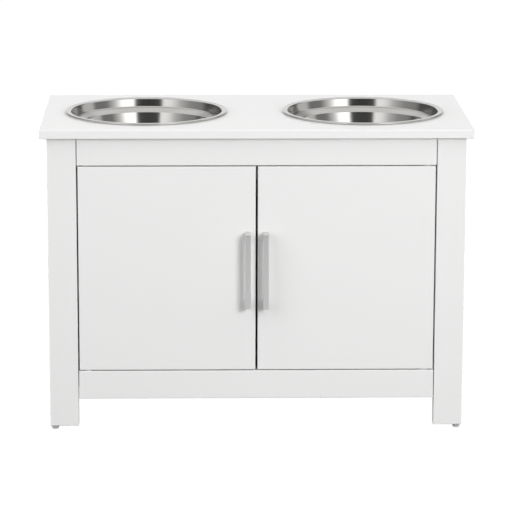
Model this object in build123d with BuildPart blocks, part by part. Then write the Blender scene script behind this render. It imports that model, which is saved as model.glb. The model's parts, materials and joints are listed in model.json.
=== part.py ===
"""A raised pet feeder: a white cabinet with two doors, and two drop-in steel bowls in its top.

Millimetres. X runs across the front to the right, Y runs from the front to the back and Z
runs up from the floor. The origin is on the floor, at the centre of the whole outline.
"""

import os

from build123d import *

os.makedirs("parts", exist_ok=True)

# ---- Driving sizes: the cabinet ----
feeder_width = 600.0  # top panel, side to side
feeder_height = 430.0  # floor to the top panel's upper face
top_depth = 310.0  # top panel, front to back
side_overhang = 10.0  # top panel past each side panel
front_overhang = 10.0  # top panel past the front frame
panel_board = 12.0  # top, side and bottom panels
frame_board = 18.0  # stiles and rails
door_board = 16.0
stretcher_board = 12.0
back_board = 3.0
cleat_size = 15.0  # square battens
board_easing = 1.0  # rounded edges of the lacquered boards
top_corner_radius = 2.5

# ---- Driving sizes: the front frame and the legs ----
stile_width = 40.0
top_rail_height = 39.0
bottom_rail_height = 40.0
base_clearance = 46.0  # floor to the bottom rail
rail_gap = 1.0  # joint line between a rail and a stile
stop_height = 10.0  # the front stretcher shows this much below the top rail
rear_stretcher_height = 45.0
rear_rail_height = 28.0
side_leg_depth = 50.0  # each side panel's legs, either side of its arch
arch_radius = 20.0
back_set_in = 10.0  # back panel, in from the rear edge
back_groove_depth = 5.0
groove_clearance = 0.1

# ---- Driving sizes: the doors and their pivots ----
door_side_gap = 2.0
door_end_gap = 1.5  # above and below a door
door_meeting_gap = 3.0
swing_clearance = 0.5  # between a stile and the corner that swings past it
pivot_setback = 7.0  # pivot axis behind the door's front face
pivot_pin_radius = 2.5
pivot_pin_in_door = 22.0
pivot_pin_in_bush = 9.0
pivot_running_clearance = 0.08
bush_wall = 1.4
bush_flange_lip = 1.0
bush_flange_thickness = 1.2
pivot_end_gap = 0.5
bush_end = 1.0  # closed end of the bush
bumper_radius = 3.5
bumper_thickness = 1.7
bumper_from_edge = 40.0  # in from either side edge of the door

# ---- Driving sizes: the handles ----
handle_centres = 96.0  # screw to screw
handle_width = 8.0
handle_bar = 6.0
handle_leg = 10.0
handle_reach = 25.0  # out from the door
handle_from_edge = 11.0  # in from the door's meeting edge
handle_outer_radius = 4.0
handle_inner_radius = 5.0
handle_easing = 2.2
handle_screw_radius = 2.0
handle_screw_head_radius = 4.0
handle_screw_head = 2.4
handle_screw_bite = 9.0
handle_screw_end_gap = 1.0

# ---- Driving sizes: the bowls ----
bowl_side_margin = 30.0  # a bowl's rim, in from the side edge of the top panel
bowl_mouth_radius = 107.5
bowl_flange = 6.7  # from the mouth to the middle of the rolled edge
bowl_bead_radius = 1.3
bowl_seat_gap = 0.3  # the rolled edge above the top panel
bowl_flange_drop = 0.3  # the flange below the top of the rolled edge
bowl_sheet = 0.8
bowl_collar_depth = 12.0  # upper wall, from the flange down
bowl_collar_taper = 2.5
bowl_shoulder_width = 11.5
bowl_shoulder_drop = 6.0
bowl_depth = 70.0
bowl_base_radius = 79.0
bowl_base_round = 13.0
bowl_step_round = 2.0
cutout_clearance = 0.9

# ---- Driving sizes: the double magnetic catch ----
catch_width = 66.0
catch_depth = 14.0
catch_height = 13.0
magnet_spacing = 42.0
magnet_length = 16.0
magnet_depth = 9.0
magnet_thickness = 4.0
pole_thickness = 1.2
pole_stand_out = 1.0
catch_screw_spacing = 12.0
catch_screw_bite = 12.0
catch_screw_radius = 1.5
catch_screw_head_radius = 2.8
catch_screw_head = 1.6
strike_width = 20.0
strike_height = 12.0
strike_thickness = 1.0
strike_corner_radius = 1.5
strike_gap = 0.3
strike_screw_length = 10.0
strike_screw_radius = 1.25
strike_screw_head_radius = 2.2

# ---- Driving sizes: the leg glides ----
glide_height = 6.5
glide_top_radius = 6.2
glide_foot_radius = 4.6
glide_easing = 0.5
glide_side_inset = 6.4  # glide centre, in from the cabinet's side
glide_front_inset = 11.5
glide_rear_inset = 20.0
glide_recess = 2.5  # depth of the nail head above the foot
glide_nail_radius = 1.1
glide_nail_head_radius = 2.6
glide_nail_head = 1.2
glide_nail_bite = 16.0

# ---- Driving sizes: the fasteners ----
screw_radius = 1.75
screw_head_radius = 3.5
screw_bite = 9.0  # screw length past a cleat
screw_end_distance = 20.0
dowel_radius = 3.0
dowel_in_side = 8.0
dowel_in_board = 16.0
dowel_in_stile = 10.0
dowel_in_side_edge = 20.0
dowel_end_gap = 0.5
fastener_clearance = 0.05
nail_radius = 0.9
nail_head_radius = 2.5
nail_head = 0.8
nail_bite = 9.0

# ---- Planes and levels worked out from those ----
handle_stand_out = max(handle_reach - front_overhang, 0)
overall_depth = top_depth + handle_stand_out
top_front = handle_stand_out - overall_depth / 2
top_rear = top_front + top_depth
top_middle = (top_front + top_rear) / 2
face = top_front + front_overhang
frame_back = face + frame_board
door_back = face + door_board
stretcher_back = frame_back + stretcher_board
back_front = top_rear - back_set_in - back_board
rear_stretcher_front = back_front - stretcher_board

side_outer = feeder_width / 2 - side_overhang
side_inner = side_outer - panel_board
stile_inner = side_outer - stile_width
rail_end = stile_inner - rail_gap

top_under = feeder_height - panel_board
opening_top = top_under - top_rail_height
opening_bottom = base_clearance + bottom_rail_height
bottom_under = opening_bottom - panel_board
stop_bottom = opening_top - stop_height
back_bottom = bottom_under - rear_rail_height / 2

door_edge = stile_inner - door_side_gap
door_inner_edge = door_meeting_gap / 2
door_bottom = opening_bottom + door_end_gap
door_top = opening_top - door_end_gap
door_middle = (door_bottom + door_top) / 2

# The pivot stands just far enough in for the door's eased front corner to clear the stile.
corner_room = door_side_gap - swing_clearance
corner_rise = (pivot_setback - board_easing) ** 2
pivot_inset = board_easing + (corner_rise / corner_room - corner_room) / 2
pivot_x = door_edge - pivot_inset
pivot_y = face + pivot_setback
bush_bore = pivot_pin_radius + pivot_running_clearance
bush_radius = bush_bore + bush_wall
bush_bore_depth = pivot_pin_in_bush + pivot_end_gap
bush_length = bush_bore_depth + bush_end
pivot_pin_length = pivot_pin_in_door + door_end_gap + pivot_pin_in_bush

# The stop ends short of the circle that the door's rear corner sweeps as it opens.
swept_radius = (pivot_inset**2 + (door_board - pivot_setback) ** 2) ** 0.5
stop_end = pivot_x - swept_radius - swing_clearance

screw_length = cleat_size + screw_bite
cleat_middle = cleat_size / 2
cleat_x = side_inner - cleat_middle
top_cleat_z = top_under - cleat_middle
bottom_cleat_z = bottom_under - cleat_middle

bowl_rim_radius = bowl_mouth_radius + bowl_flange + bowl_bead_radius
bowl_x = feeder_width / 2 - bowl_side_margin - bowl_rim_radius
cutout_radius = bowl_mouth_radius + bowl_sheet + cutout_clearance

strike_back = door_back + strike_thickness
pole_front = strike_back + strike_gap
catch_front = pole_front + pole_stand_out
catch_z = stop_bottom - catch_height / 2
stretcher_middle = frame_back + stretcher_board / 2

handle_x = door_inner_edge + handle_from_edge
handle_ends = (door_middle - handle_centres / 2, door_middle + handle_centres / 2)

hands = ((-1, "left"), (1, "right"))


# ---- Shared shapes ----
def spanned_rectangle(low_u, high_u, low_v, high_v, mode=Mode.ADD):
    """Draw a rectangle between two pairs of edges in the current sketch."""
    with Locations(((low_u + high_u) / 2, (low_v + high_v) / 2)):
        Rectangle(high_u - low_u, high_v - low_v, mode=mode)


def mirrored_span(side, near, far):
    """Return the low and high X of a span that lies near to far from the middle plane."""
    return min(side * near, side * far), max(side * near, side * far)


def wood_screw(length, radius, head_radius):
    """Return a countersunk screw with its head's face at the origin, pointing down."""
    cone = head_radius - radius
    with BuildPart() as screw:
        with BuildSketch(Plane.XZ):
            with BuildLine():
                Polyline(
                    (0, 0),
                    (head_radius, 0),
                    (radius, -cone),
                    (radius, radius - length),
                    (0, -length),
                    close=True,
                )
            make_face()
        revolve(axis=Axis.Z)
    return screw.part


def screw_hole(length, radius, head_radius):
    """Return the space that a countersunk screw takes, open above its head."""
    with BuildPart() as hole:
        with BuildSketch(Plane.XZ):
            with BuildLine():
                Polyline(
                    (0, head_radius),
                    (head_radius + fastener_clearance, head_radius),
                    (head_radius + fastener_clearance, 0),
                    (radius + fastener_clearance, radius - head_radius),
                    (radius + fastener_clearance, -length),
                    (0, -length),
                    close=True,
                )
            make_face()
        revolve(axis=Axis.Z)
    return hole.part


def headed_pin(length, radius, head_radius, head):
    """Return a flat-headed nail or machine screw, pointing down from under its head."""
    with BuildPart() as pin:
        Cylinder(radius, length, align=(Align.CENTER, Align.CENTER, Align.MAX))
        Cylinder(head_radius, head, align=(Align.CENTER, Align.CENTER, Align.MIN))
    return pin.part


def dowel(length):
    """Return a dowel that lies along Z about the origin."""
    with BuildPart() as peg:
        Cylinder(dowel_radius, length)
    return peg.part


def dowel_hole(length):
    """Return the hole for a dowel of the given length."""
    with BuildPart() as hole:
        Cylinder(dowel_radius + fastener_clearance, length + 2 * dowel_end_gap)
    return hole.part


board_screw = wood_screw(screw_length, screw_radius, screw_head_radius)
board_screw_hole = screw_hole(screw_length, screw_radius, screw_head_radius)
side_dowel_length = dowel_in_side + dowel_in_board
side_dowel = dowel(side_dowel_length)
side_dowel_hole = dowel_hole(side_dowel_length)
stile_dowel_length = dowel_in_stile + dowel_in_side_edge
stile_dowel = dowel(stile_dowel_length)
stile_dowel_hole = dowel_hole(stile_dowel_length)
back_nail = headed_pin(back_board + nail_bite, nail_radius, nail_head_radius, nail_head)

# ---- Where the fasteners go ----
UP = (180, 0, 0)
FORWARD = (-90, 0, 0)
ALONG_X = (0, 90, 0)
ALONG_Y = (90, 0, 0)

top_cleat_middle = (stretcher_back + rear_stretcher_front) / 2
top_cleat_length = rear_stretcher_front - stretcher_back
bottom_cleat_front = frame_back + cleat_size
bottom_cleat_middle = (bottom_cleat_front + rear_stretcher_front) / 2
bottom_cleat_length = rear_stretcher_front - bottom_cleat_front
top_cleat_reach = top_cleat_length / 2 - screw_end_distance
bottom_cleat_reach = bottom_cleat_length / 2 - screw_end_distance

top_screw_places = [
    Location((side * cleat_x, top_cleat_middle + step * top_cleat_reach, top_under - cleat_size), UP)
    for side, hand in hands
    for step in (-1, 0, 1)
]
bottom_screw_places = [
    Location(
        (side * cleat_x, bottom_cleat_middle + step * bottom_cleat_reach, bottom_under - cleat_size),
        UP,
    )
    for side, hand in hands
    for step in (-1, 1)
] + [
    Location((step * side_inner * 2 / 3, frame_back + cleat_middle, bottom_under - cleat_size), UP)
    for step in (-1, 0, 1)
]
side_screw_places = [
    Location(
        (side * (side_inner - cleat_size), middle + step * length / 4, height), (0, -90 * side, 0)
    )
    for side, hand in hands
    for middle, length, height in (
        (top_cleat_middle, top_cleat_length, top_cleat_z),
        (bottom_cleat_middle, bottom_cleat_length, bottom_cleat_z),
    )
    for step in (-1, 1)
]
top_rail_screw_places = [
    Location((step * rail_end * 3 / 4, stretcher_back, top_under - top_rail_height / 2), FORWARD)
    for step in (-1, 0, 1)
]
bottom_rail_screw_places = [
    Location((step * rail_end / 3, bottom_cleat_front, bottom_cleat_z), FORWARD)
    for step in (-2, -1, 1, 2)
]
side_dowel_x = side_inner + (dowel_in_side - dowel_in_board) / 2
stretcher_dowel_places = [
    Location((side * side_dowel_x, middle, low + height * share), ALONG_X)
    for side, hand in hands
    for middle, low, height in (
        (stretcher_middle, opening_top, top_rail_height),
        (
            back_front - stretcher_board / 2,
            top_under - rear_stretcher_height,
            rear_stretcher_height,
        ),
        (back_front - stretcher_board / 2, bottom_under - rear_rail_height, rear_rail_height),
    )
    for share in (0.25, 0.75)
]
bottom_dowel_places = [
    Location(
        (
            side * side_dowel_x,
            bottom_cleat_middle + step * bottom_cleat_reach / 2,
            bottom_under + panel_board / 2,
        ),
        ALONG_X,
    )
    for side, hand in hands
    for step in (-1, 0, 1)
]
stile_dowel_places = [
    Location(
        (
            side * (side_inner + panel_board / 2),
            frame_back + (dowel_in_side_edge - dowel_in_stile) / 2,
            glide_height + (top_under - glide_height) * share,
        ),
        ALONG_Y,
    )
    for side, hand in hands
    for share in (0.15, 0.5, 0.85)
]
back_nail_rows = (bottom_under - rear_rail_height / 4, top_under - rear_stretcher_height / 2)
back_nail_places = [
    Location((step * side_inner * 2 / 5, back_front + back_board, height), FORWARD)
    for height in back_nail_rows
    for step in (-2, -1, 0, 1, 2)
]
glide_places = [
    Location((side * (side_outer - glide_side_inset), middle, glide_height))
    for side, hand in hands
    for middle in (face + glide_front_inset, top_rear - glide_rear_inset)
]
pivot_places = {
    hand: (
        Location((side * pivot_x, pivot_y, opening_bottom), UP),
        Location((side * pivot_x, pivot_y, opening_top)),
    )
    for side, hand in hands
}
catch_screw_places = [
    Location((step * catch_screw_spacing / 2, stretcher_middle, stop_bottom - catch_height), UP)
    for step in (-1, 1)
]
handle_screw_places = {
    hand: [Location((side * handle_x, door_back, height), FORWARD) for height in handle_ends]
    for side, hand in hands
}
strike_places = {
    hand: Location((side * magnet_spacing / 2, strike_back, catch_z), FORWARD)
    for side, hand in hands
}
bumper_places = {
    hand: [
        Location((side * middle, door_back, (stop_bottom + door_top) / 2), FORWARD)
        for middle in (door_edge - bumper_from_edge, door_inner_edge + bumper_from_edge)
    ]
    for side, hand in hands
}
magnet_xs = (-magnet_spacing / 2, magnet_spacing / 2)
bowl_xs = (-bowl_x, bowl_x)

# ---- Top panel, with its two bowl cut-outs ----
with BuildPart() as top_panel:
    with BuildSketch(Plane.XY.offset(top_under)):
        spanned_rectangle(-feeder_width / 2, feeder_width / 2, top_front, top_rear)
    extrude(amount=panel_board)
    fillet(top_panel.edges().filter_by(Axis.Z), top_corner_radius)
    fillet(top_panel.faces().sort_by(Axis.Z)[-1].edges(), board_easing)
    fillet(top_panel.faces().sort_by(Axis.Z)[0].edges(), board_easing)
    with BuildSketch(Plane.XY.offset(top_under)):
        with Locations(*((x, top_middle) for x in bowl_xs)):
            Circle(cutout_radius)
    extrude(amount=panel_board, mode=Mode.SUBTRACT)
    with Locations(*top_screw_places):
        add(board_screw_hole, mode=Mode.SUBTRACT)
top_panel.part.label = "top_panel"
export_step(top_panel.part, "parts/top_panel.step")

# ---- Side panels: an arch below between two legs, and a groove for the back ----
for side, hand in hands:
    with BuildPart() as side_panel:
        with BuildSketch(Plane.YZ.offset(side * side_inner)):
            spanned_rectangle(frame_back, top_rear, glide_height, top_under)
        extrude(amount=side * panel_board)
        with BuildSketch(Plane.YZ.offset(side * side_inner)):
            with Locations(((frame_back + top_rear) / 2, base_clearance)):
                RectangleRounded(
                    top_rear - frame_back - 2 * side_leg_depth,
                    2 * base_clearance,
                    arch_radius,
                    align=(Align.CENTER, Align.MAX),
                )
        extrude(amount=side * panel_board, mode=Mode.SUBTRACT)
        outer_face = side_panel.faces().sort_by(Axis.X)[-1 if side > 0 else 0]
        fillet(outer_face.edges(), board_easing)
        with BuildSketch(Plane.YZ.offset(side * side_inner)):
            spanned_rectangle(
                back_front - groove_clearance,
                back_front + back_board + groove_clearance,
                back_bottom - groove_clearance,
                top_under,
            )
        extrude(amount=side * back_groove_depth, mode=Mode.SUBTRACT)
        with Locations(*side_screw_places):
            add(board_screw_hole, mode=Mode.SUBTRACT)
        with Locations(*stretcher_dowel_places, *bottom_dowel_places):
            add(side_dowel_hole, mode=Mode.SUBTRACT)
        with Locations(*stile_dowel_places):
            add(stile_dowel_hole, mode=Mode.SUBTRACT)
        with Locations(*glide_places):
            Cylinder(
                glide_nail_radius + fastener_clearance,
                glide_nail_bite,
                align=(Align.CENTER, Align.CENTER, Align.MIN),
                mode=Mode.SUBTRACT,
            )
    side_panel.part.label = f"{hand}_side_panel"
    export_step(side_panel.part, f"parts/{hand}_side_panel.step")

# ---- Front frame: two full-height stiles and two rails between them ----
for side, hand in hands:
    with BuildPart() as stile:
        with BuildSketch(Plane.XZ.offset(-face)):
            low_x, high_x = mirrored_span(side, stile_inner, side_outer)
            spanned_rectangle(low_x, high_x, glide_height, top_under)
        extrude(amount=-frame_board)
        fillet(stile.faces().sort_by(Axis.Y)[0].edges(), board_easing)
        with Locations(*stile_dowel_places):
            add(stile_dowel_hole, mode=Mode.SUBTRACT)
        with Locations(*glide_places):
            Cylinder(
                glide_nail_radius + fastener_clearance,
                glide_nail_bite,
                align=(Align.CENTER, Align.CENTER, Align.MIN),
                mode=Mode.SUBTRACT,
            )
    stile.part.label = f"{hand}_stile"
    export_step(stile.part, f"parts/{hand}_stile.step")

rails = {
    "top_rail": (opening_top, top_under, top_rail_screw_places, 1),
    "bottom_rail": (base_clearance, opening_bottom, bottom_rail_screw_places, 0),
}
for name, (low, high, screw_places, pivot_end) in rails.items():
    with BuildPart() as rail:
        with BuildSketch(Plane.XZ.offset(-face)):
            spanned_rectangle(-rail_end, rail_end, low, high)
        extrude(amount=-frame_board)
        fillet(rail.faces().sort_by(Axis.Y)[0].edges(), board_easing)
        with Locations(*screw_places):
            add(board_screw_hole, mode=Mode.SUBTRACT)
        with Locations(*(pivot_places[hand][pivot_end] for side, hand in hands)):
            Cylinder(
                bush_radius,
                bush_length,
                align=(Align.CENTER, Align.CENTER, Align.MIN),
                mode=Mode.SUBTRACT,
            )
    rail.part.label = name
    export_step(rail.part, f"parts/{name}.step")

# ---- Stretchers behind the frame and at the back ----
with BuildPart() as front_stretcher:
    with BuildSketch(Plane.XZ.offset(-frame_back)):
        spanned_rectangle(-side_inner, side_inner, opening_top, top_under)
        spanned_rectangle(-stop_end, stop_end, stop_bottom, opening_top)
    extrude(amount=-stretcher_board)
    with Locations(*top_rail_screw_places):
        add(board_screw_hole, mode=Mode.SUBTRACT)
    with Locations(*stretcher_dowel_places):
        add(side_dowel_hole, mode=Mode.SUBTRACT)
    with Locations(*catch_screw_places):
        Cylinder(
            catch_screw_radius + fastener_clearance,
            catch_height + catch_screw_bite,
            align=(Align.CENTER, Align.CENTER, Align.MAX),
            mode=Mode.SUBTRACT,
        )
front_stretcher.part.label = "front_stretcher"
export_step(front_stretcher.part, "parts/front_stretcher.step")

rear_boards = {
    "rear_stretcher": (top_under - rear_stretcher_height, top_under),
    "rear_rail": (bottom_under - rear_rail_height, bottom_under),
}
for name, (low, high) in rear_boards.items():
    with BuildPart() as rear_board:
        with BuildSketch(Plane.XZ.offset(-rear_stretcher_front)):
            spanned_rectangle(-side_inner, side_inner, low, high)
        extrude(amount=-stretcher_board)
        with Locations(*stretcher_dowel_places):
            add(side_dowel_hole, mode=Mode.SUBTRACT)
        with Locations(*back_nail_places):
            Cylinder(
                nail_radius + fastener_clearance,
                back_board + nail_bite,
                align=(Align.CENTER, Align.CENTER, Align.MAX),
                mode=Mode.SUBTRACT,
            )
    rear_board.part.label = name
    export_step(rear_board.part, f"parts/{name}.step")

# ---- Bottom panel, level with the bottom rail's top ----
with BuildPart() as bottom_panel:
    with BuildSketch(Plane.XY.offset(bottom_under)):
        spanned_rectangle(-side_inner, side_inner, frame_back, back_front)
    extrude(amount=panel_board)
    with Locations(*bottom_screw_places):
        add(board_screw_hole, mode=Mode.SUBTRACT)
    with Locations(*bottom_dowel_places):
        add(side_dowel_hole, mode=Mode.SUBTRACT)
bottom_panel.part.label = "bottom_panel"
export_step(bottom_panel.part, "parts/bottom_panel.step")

# ---- Thin back panel, in the side panels' grooves ----
with BuildPart() as back_panel:
    with BuildSketch(Plane.XZ.offset(-back_front)):
        back_reach = side_inner + back_groove_depth - groove_clearance
        spanned_rectangle(-back_reach, back_reach, back_bottom, top_under - groove_clearance)
    extrude(amount=-back_board)
    with Locations(*back_nail_places):
        Cylinder(
            nail_radius + fastener_clearance,
            back_board,
            align=(Align.CENTER, Align.CENTER, Align.MAX),
            mode=Mode.SUBTRACT,
        )
back_panel.part.label = "back_panel"
export_step(back_panel.part, "parts/back_panel.step")

# ---- Cleats that carry the screws ----
cleat_spans = {
    "top": (stretcher_back, top_under),
    "bottom": (bottom_cleat_front, bottom_under),
}
for side, hand in hands:
    for level, (cleat_front, cleat_top) in cleat_spans.items():
        with BuildPart() as cleat:
            with BuildSketch(Plane.XY.offset(cleat_top)):
                low_x, high_x = mirrored_span(side, side_inner - cleat_size, side_inner)
                spanned_rectangle(low_x, high_x, cleat_front, rear_stretcher_front)
            extrude(amount=-cleat_size)
            with Locations(*top_screw_places, *bottom_screw_places, *side_screw_places):
                add(board_screw_hole, mode=Mode.SUBTRACT)
        cleat.part.label = f"{hand}_{level}_cleat"
        export_step(cleat.part, f"parts/{hand}_{level}_cleat.step")

with BuildPart() as front_cleat:
    with BuildSketch(Plane.XY.offset(bottom_under)):
        spanned_rectangle(-side_inner, side_inner, frame_back, bottom_cleat_front)
    extrude(amount=-cleat_size)
    with Locations(*bottom_screw_places, *bottom_rail_screw_places):
        add(board_screw_hole, mode=Mode.SUBTRACT)
front_cleat.part.label = "front_cleat"
export_step(front_cleat.part, "parts/front_cleat.step")

# ---- Wood screws, dowels and nails of the cabinet ----
screw_groups = {
    "top_screws": top_screw_places,
    "bottom_screws": bottom_screw_places,
    "side_screws": side_screw_places,
    "top_rail_screws": top_rail_screw_places,
    "bottom_rail_screws": bottom_rail_screw_places,
}
for name, places in screw_groups.items():
    with BuildPart() as screws:
        with Locations(*places):
            add(board_screw)
    screws.part.label = name
    export_step(screws.part, f"parts/{name}.step")

with BuildPart() as side_dowels:
    with Locations(*stretcher_dowel_places, *bottom_dowel_places):
        add(side_dowel)
side_dowels.part.label = "side_dowels"
export_step(side_dowels.part, "parts/side_dowels.step")

with BuildPart() as stile_dowels:
    with Locations(*stile_dowel_places):
        add(stile_dowel)
stile_dowels.part.label = "stile_dowels"
export_step(stile_dowels.part, "parts/stile_dowels.step")

with BuildPart() as back_nails:
    with Locations(*back_nail_places):
        add(back_nail)
back_nails.part.label = "back_nails"
export_step(back_nails.part, "parts/back_nails.step")

# ---- Tapered glides under the four legs, each held by a nail in its recess ----
with BuildPart() as glide:
    Cone(
        glide_foot_radius,
        glide_top_radius,
        glide_height,
        align=(Align.CENTER, Align.CENTER, Align.MAX),
    )
    fillet(glide.faces().sort_by(Axis.Z)[0].edges(), glide_easing)
    Cylinder(
        glide_nail_radius + fastener_clearance,
        glide_height,
        align=(Align.CENTER, Align.CENTER, Align.MAX),
        mode=Mode.SUBTRACT,
    )
    with Locations((0, 0, -glide_height)):
        Cylinder(
            glide_nail_head_radius + fastener_clearance,
            glide_recess + glide_nail_head,
            align=(Align.CENTER, Align.CENTER, Align.MIN),
            mode=Mode.SUBTRACT,
        )
glide_nail_length = glide_height - glide_recess - glide_nail_head + glide_nail_bite
glide_nail = headed_pin(
    glide_nail_length, glide_nail_radius, glide_nail_head_radius, glide_nail_head
)
glide_nail_places = [
    place * Location((0, 0, glide_nail_bite - glide_nail_length), UP) for place in glide_places
]
with BuildPart() as leg_glides:
    with Locations(*glide_places):
        add(glide.part)
leg_glides.part.label = "leg_glides"
export_step(leg_glides.part, "parts/leg_glides.step")

with BuildPart() as glide_nails:
    with Locations(*glide_nail_places):
        add(glide_nail)
glide_nails.part.label = "glide_nails"
export_step(glide_nails.part, "parts/glide_nails.step")

# ---- Doors: eased boards, bored for the pivot pins and the handle screws ----
strike_screw = wood_screw(strike_screw_length, strike_screw_radius, strike_screw_head_radius)
strike_screw_hole = screw_hole(strike_screw_length, strike_screw_radius, strike_screw_head_radius)

for side, hand in hands:
    pin_places = (
        Location((side * pivot_x, pivot_y, door_bottom)),
        Location((side * pivot_x, pivot_y, door_top), UP),
    )
    with BuildPart() as door:
        with BuildSketch(Plane.XZ.offset(-face)):
            low_x, high_x = mirrored_span(side, door_inner_edge, door_edge)
            spanned_rectangle(low_x, high_x, door_bottom, door_top)
        extrude(amount=-door_board)
        fillet(door.faces().sort_by(Axis.Y)[0].edges(), board_easing)
        fillet(door.faces().sort_by(Axis.Y)[-1].edges(), board_easing)
        with Locations(*pin_places):
            Cylinder(
                pivot_pin_radius,
                pivot_pin_in_door,
                align=(Align.CENTER, Align.CENTER, Align.MIN),
                mode=Mode.SUBTRACT,
            )
        with Locations(*handle_screw_places[hand]):
            Cylinder(
                handle_screw_radius + fastener_clearance,
                door_board,
                align=(Align.CENTER, Align.CENTER, Align.MAX),
                mode=Mode.SUBTRACT,
            )
        with Locations(strike_places[hand]):
            add(strike_screw_hole, mode=Mode.SUBTRACT)
    door.part.label = f"{hand}_door"
    export_step(door.part, f"parts/{hand}_door.step")

    # Steel pins, pressed into the door's ends
    with BuildPart() as pivot_pins:
        with Locations(*(place * Location((0, 0, pivot_pin_in_door)) for place in pin_places)):
            Cylinder(
                pivot_pin_radius,
                pivot_pin_length,
                align=(Align.CENTER, Align.CENTER, Align.MAX),
            )
    pivot_pins.part.label = f"{hand}_pivot_pins"
    export_step(pivot_pins.part, f"parts/{hand}_pivot_pins.step")

# ---- Flanged bushes that the pins turn in; each flange carries the door's end ----
with BuildPart() as bush:
    Cylinder(bush_radius, bush_length, align=(Align.CENTER, Align.CENTER, Align.MIN))
    Cylinder(
        bush_radius + bush_flange_lip,
        bush_flange_thickness,
        align=(Align.CENTER, Align.CENTER, Align.MAX),
    )
    with Locations((0, 0, -bush_flange_thickness)):
        Cylinder(
            bush_bore,
            bush_flange_thickness + bush_bore_depth,
            align=(Align.CENTER, Align.CENTER, Align.MIN),
            mode=Mode.SUBTRACT,
        )
with BuildPart() as pivot_bushes:
    with Locations(*pivot_places["left"], *pivot_places["right"]):
        add(bush.part)
pivot_bushes.part.label = "pivot_bushes"
export_step(pivot_bushes.part, "parts/pivot_bushes.step")

# ---- Bridge handles with a rounded bar, screwed on through the doors ----
handle_low = handle_ends[0] - handle_leg / 2
handle_high = handle_ends[1] + handle_leg / 2
handle_front = face - handle_reach
for side, hand in hands:
    with BuildPart() as handle:
        with BuildSketch(Plane.YZ.offset(side * handle_x - handle_width / 2)) as bridge:
            spanned_rectangle(handle_front, face, handle_low, handle_high)
            spanned_rectangle(
                handle_front + handle_bar,
                face,
                handle_low + handle_leg,
                handle_high - handle_leg,
                mode=Mode.SUBTRACT,
            )
            fillet(bridge.vertices().group_by(Axis.X)[1], handle_inner_radius)
            fillet(bridge.vertices().group_by(Axis.X)[0], handle_outer_radius)
        extrude(amount=handle_width)
        front_edges = handle.faces().sort_by(Axis.Y)[0].edges().filter_by(Axis.Z)
        fillet(front_edges, handle_easing)
        with Locations(*handle_screw_places[hand]):
            Cylinder(
                handle_screw_radius + fastener_clearance,
                door_board + handle_screw_bite + handle_screw_end_gap,
                align=(Align.CENTER, Align.CENTER, Align.MAX),
                mode=Mode.SUBTRACT,
            )
    handle.part.label = f"{hand}_handle"
    export_step(handle.part, f"parts/{hand}_handle.step")

    with BuildPart() as handle_screws:
        with Locations(*handle_screw_places[hand]):
            Cylinder(
                handle_screw_radius,
                door_board + handle_screw_bite,
                align=(Align.CENTER, Align.CENTER, Align.MAX),
            )
            Cylinder(
                handle_screw_head_radius,
                handle_screw_head,
                align=(Align.CENTER, Align.CENTER, Align.MIN),
            )
    handle_screws.part.label = f"{hand}_handle_screws"
    export_step(handle_screws.part, f"parts/{hand}_handle_screws.step")

# ---- Double magnetic catch under the front stretcher ----
with BuildPart() as catch_body:
    with BuildSketch(Plane.XZ.offset(-catch_front)):
        spanned_rectangle(
            -catch_width / 2, catch_width / 2, stop_bottom - catch_height, stop_bottom
        )
    extrude(amount=-catch_depth)
    fillet(catch_body.edges().filter_by(Axis.Z), board_easing)
    with BuildSketch(Plane.XZ.offset(-catch_front)):
        with Locations(*((x, catch_z) for x in magnet_xs)):
            Rectangle(magnet_length, magnet_thickness + 2 * pole_thickness)
    extrude(amount=-magnet_depth, mode=Mode.SUBTRACT)
    with Locations(*catch_screw_places):
        Cylinder(
            catch_screw_radius + fastener_clearance,
            catch_height,
            align=(Align.CENTER, Align.CENTER, Align.MAX),
            mode=Mode.SUBTRACT,
        )
catch_body.part.label = "catch_body"
export_step(catch_body.part, "parts/catch_body.step")

with BuildPart() as catch_magnets:
    with BuildSketch(Plane.XZ.offset(-catch_front)):
        with Locations(*((x, catch_z) for x in magnet_xs)):
            Rectangle(magnet_length, magnet_thickness)
    extrude(amount=-magnet_depth)
catch_magnets.part.label = "catch_magnets"
export_step(catch_magnets.part, "parts/catch_magnets.step")

with BuildPart() as catch_poles:
    with BuildSketch(Plane.XZ.offset(-pole_front)):
        pole_rise = (magnet_thickness + pole_thickness) / 2
        with Locations(*((x, catch_z + step * pole_rise) for x in magnet_xs for step in (-1, 1))):
            Rectangle(magnet_length, pole_thickness)
    extrude(amount=-(pole_stand_out + magnet_depth))
catch_poles.part.label = "catch_poles"
export_step(catch_poles.part, "parts/catch_poles.step")

catch_screw = headed_pin(
    catch_height + catch_screw_bite, catch_screw_radius, catch_screw_head_radius, catch_screw_head
)
with BuildPart() as catch_screws:
    with Locations(*catch_screw_places):
        add(catch_screw)
catch_screws.part.label = "catch_screws"
export_step(catch_screws.part, "parts/catch_screws.step")

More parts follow.
